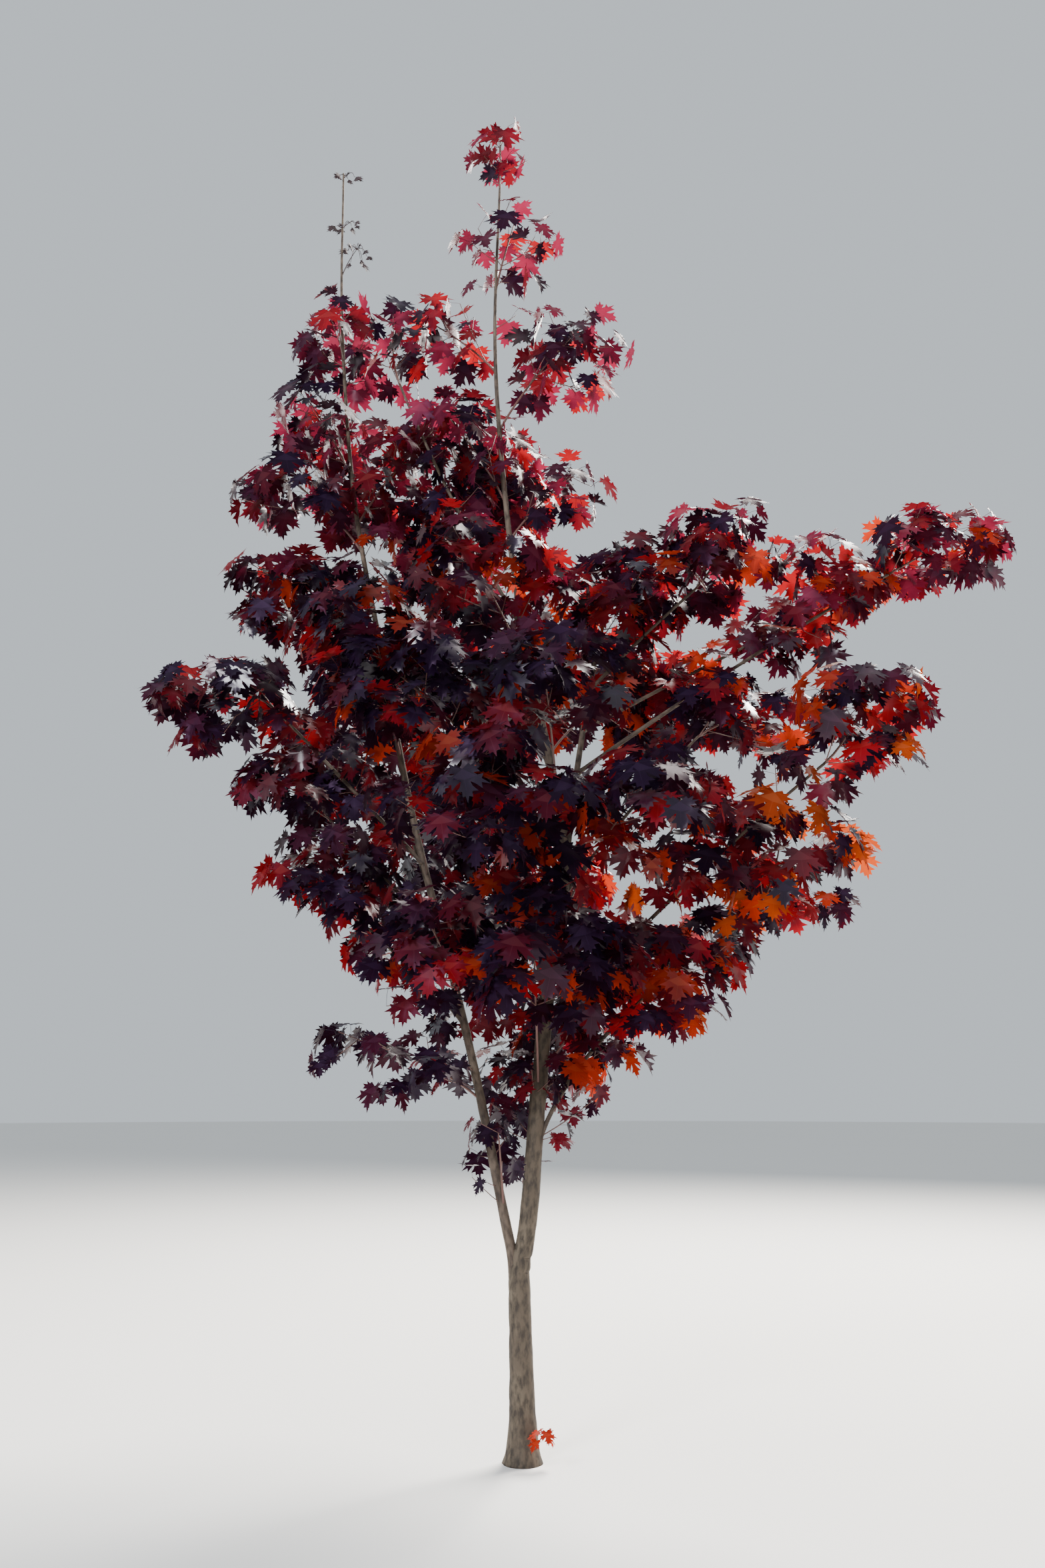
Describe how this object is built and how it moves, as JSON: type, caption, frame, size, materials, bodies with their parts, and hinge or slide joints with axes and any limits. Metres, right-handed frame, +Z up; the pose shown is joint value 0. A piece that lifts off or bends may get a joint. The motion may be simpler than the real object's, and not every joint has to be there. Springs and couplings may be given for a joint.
{
  "type": "young norway maple",
  "caption": "Young purple-leaved maple with two slender leaders from a low fork, rising boughs and an open crown of drooping lobed leaves.",
  "frame": {"origin": "centre of the flat cut under the trunk, at ground level", "axes": "+Z up along the trunk, +X to the right and +Y away from the viewer, with the bare leader on the left"},
  "size_m": [3.7659, 2.5493, 5.9869],
  "materials": {
    "bark": "matt bark",
    "foliage": "satin leaves"
  },
  "bodies": {
    "root": {"trunk": "bark", "main_stem": "bark", "left_leader": "bark", "upper_leader": "bark", "right_stem": "bark", "bough_right_outer": "bark", "bough_right_middle": "bark", "bough_right_high": "bark", "bough_right_long": "bark", "bough_right_low": "bark", "bough_right_bowed": "bark", "bough_left_long": "bark", "bough_left_middle": "bark", "bough_left_low": "bark", "bough_upper_left": "bark", "bough_back_upper": "bark", "bough_back_left": "bark", "bough_back_low": "bark", "bough_front_upper": "bark", "bough_front_low": "bark", "foliage_top": "foliage", "foliage_high_right": "foliage", "foliage_high_left": "foliage", "foliage_upper_right": "foliage", "foliage_side_right": "foliage", "foliage_inner_left": "foliage", "foliage_inner_back": "foliage", "foliage_left_top": "foliage", "foliage_left_crown": "foliage", "foliage_left_upper": "foliage", "foliage_left_inner": "foliage", "foliage_left_side": "foliage", "foliage_left_wing": "foliage", "foliage_left_far": "foliage", "foliage_left_front": "foliage", "foliage_left_middle": "foliage", "foliage_left_low": "foliage", "foliage_left_bottom": "foliage", "foliage_low_tuft": "foliage", "foliage_right_outer": "foliage", "foliage_right_middle": "foliage", "foliage_right_high": "foliage", "foliage_right_near": "foliage", "foliage_right_bowed": "foliage", "foliage_right_long": "foliage", "foliage_right_low": "foliage", "foliage_right_bottom": "foliage", "foliage_right_front": "foliage", "foliage_front_upper": "foliage", "foliage_front_middle": "foliage", "foliage_front_low": "foliage", "foliage_front_high": "foliage", "foliage_back_high": "foliage", "foliage_back_left": "foliage", "foliage_back_middle": "foliage", "foliage_back_right": "foliage", "foliage_back_low": "foliage", "foliage_lower_left": "foliage", "foliage_lower_front": "foliage", "foliage_lower_right": "foliage"}
  },
  "joints": []
}
